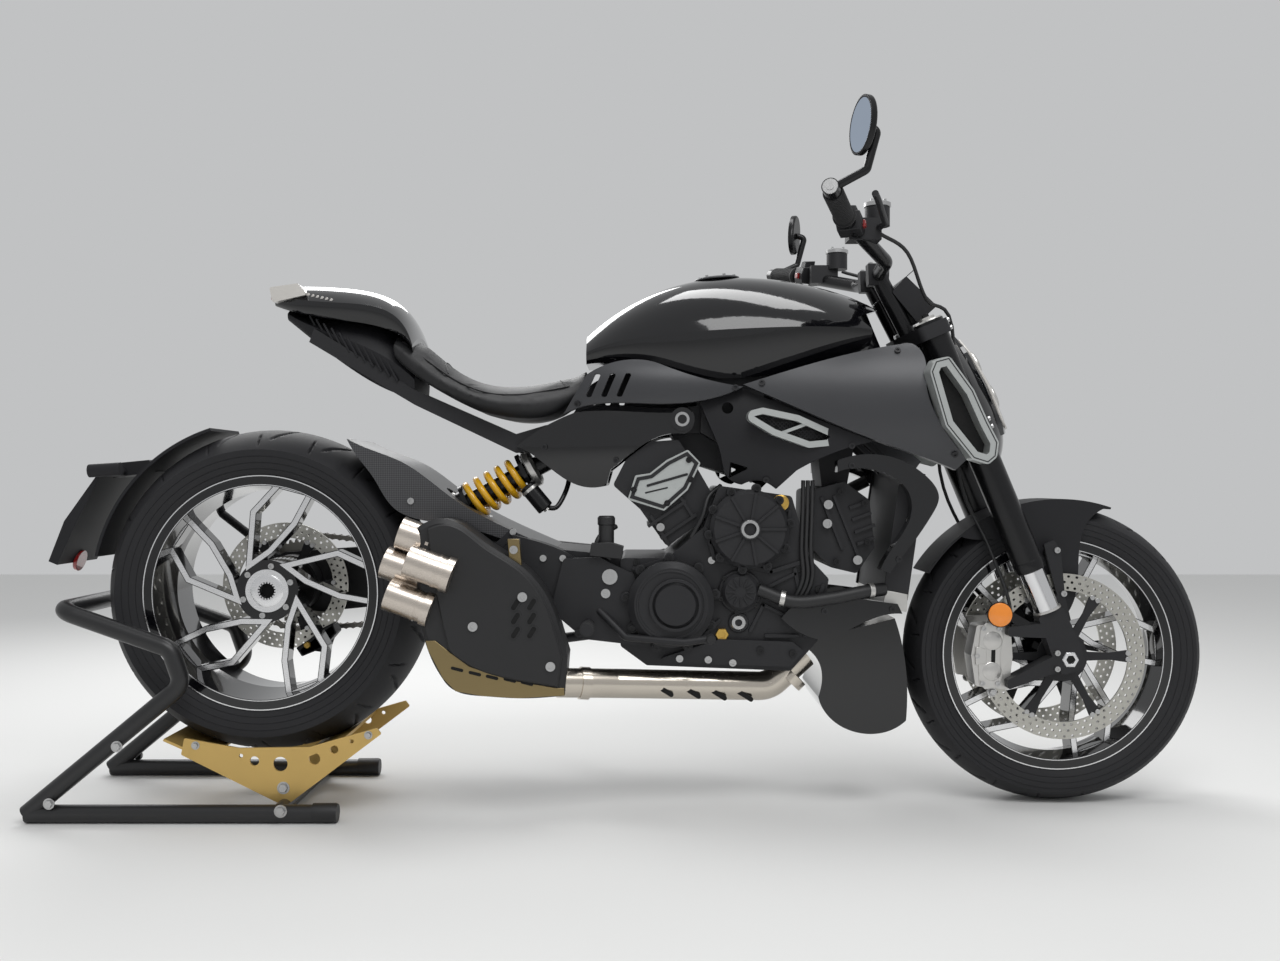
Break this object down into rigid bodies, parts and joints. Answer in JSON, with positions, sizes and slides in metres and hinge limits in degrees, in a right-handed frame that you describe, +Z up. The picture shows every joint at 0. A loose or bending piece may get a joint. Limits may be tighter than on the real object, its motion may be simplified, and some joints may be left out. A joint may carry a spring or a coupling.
{
  "type": "power cruiser motorcycle on a rear paddock stand",
  "caption": "Low power cruiser motorcycle with open vee engine, single-sided swingarm and a plate-cradle paddock stand under the rear tyre.",
  "frame": {"origin": "on the floor under the middle of the whole object", "axes": "+X forward, +Y to the rider's left, +Z up"},
  "size_m": [2.3166, 0.9994, 1.2947],
  "materials": {
    "tyre_rubber": "worn matt rubber",
    "gloss_black": "gloss black paint",
    "machined_face": "machined aluminium",
    "satin_grey": "satin dark grey paint",
    "matt_black_plastic": "matt moulded plastic",
    "cast_black": "satin black cast metal",
    "disc_steel": "brushed brake disc steel",
    "chain_steel": "oiled steel",
    "pale_silver": "pale silver paint",
    "seat_cover": "matt synthetic leather",
    "lamp_lens": "clear lamp lens",
    "radiator_core": "black fins",
    "spring_yellow": "yellow powder coat",
    "carbon": "satin carbon weave",
    "exhaust_steel": "stainless steel",
    "exhaust_black": "heat-proof matt black",
    "titanium": "brushed titanium",
    "stand_black": "black powder coat",
    "stand_gold": "gold anodised plate",
    "fork_black": "black anodised tube",
    "chrome_tube": "hard chrome",
    "grip_rubber": "ribbed rubber",
    "caliper_silver": "machined aluminium"
  },
  "bodies": {
    "chassis": {"swingarm": "cast_black", "chain": "chain_steel", "crankcase": "cast_black", "clutch_cover": "cast_black", "cylinders": "cast_black", "head_cover": "pale_silver", "frame": "cast_black", "tank": "gloss_black", "seat": "seat_cover", "tail_cowl": "gloss_black", "tail_underside": "matt_black_plastic", "tail_lamp": "lamp_lens", "side_panels": "satin_grey", "subframe_covers": "gloss_black", "intake_covers": "satin_grey", "lower_covers": "matt_black_plastic", "intake_trim": "pale_silver", "radiator": "radiator_core", "radiator_shrouds": "gloss_black", "belly_pan": "gloss_black", "shock_absorber": "fork_black", "shock_spring": "spring_yellow", "hugger": "carbon", "exhaust_pipes": "exhaust_steel", "silencer": "exhaust_black", "silencer_cover": "exhaust_black", "tailpipes": "titanium", "foot_controls": "cast_black", "rear_mudguard": "matt_black_plastic", "stand_frame": "stand_black", "stand_cradle": "stand_gold"},
    "rear_wheel": {"rear_tyre": "tyre_rubber", "rear_rim": "gloss_black", "rear_disc": "disc_steel", "rear_hub_nut": "machined_face", "rear_sprocket": "chain_steel"},
    "front_wheel": {"front_tyre": "tyre_rubber", "front_rim": "gloss_black", "front_discs": "disc_steel"},
    "steering": {"yokes": "cast_black", "fork_tubes": "fork_black", "fork_stanchions": "chrome_tube", "fork_feet": "cast_black", "calipers": "caliper_silver", "front_mudguard": "matt_black_plastic", "handlebar": "fork_black", "grips": "grip_rubber", "mirrors": "fork_black", "bar_controls": "cast_black", "instrument_panel": "matt_black_plastic", "headlight": "gloss_black"},
    "side_stand": {"side_stand": "cast_black"}
  },
  "joints": [
    {"name": "rear_wheel_spin", "type": "hinge", "parent": "chassis", "child": "rear_wheel", "pos_m": [-0.719, 0, 0.429], "axis": [0, 1, 0], "continuous": true},
    {"name": "steering_turn", "type": "hinge", "parent": "chassis", "child": "steering", "pos_m": [0.84013, 0, 0.28814], "axis": [-0.3827, 0, 0.9239], "range_deg": [-34, 34]},
    {"name": "front_wheel_spin", "type": "hinge", "parent": "steering", "child": "front_wheel", "pos_m": [0.86877, 0, 0.3], "axis": [0, 1, 0], "continuous": true},
    {"name": "side_stand_fold", "type": "hinge", "parent": "chassis", "child": "side_stand", "pos_m": [-0.019, 0.155, 0.323], "axis": [0, 1, 0], "range_deg": [-100, 0]}
  ]
}
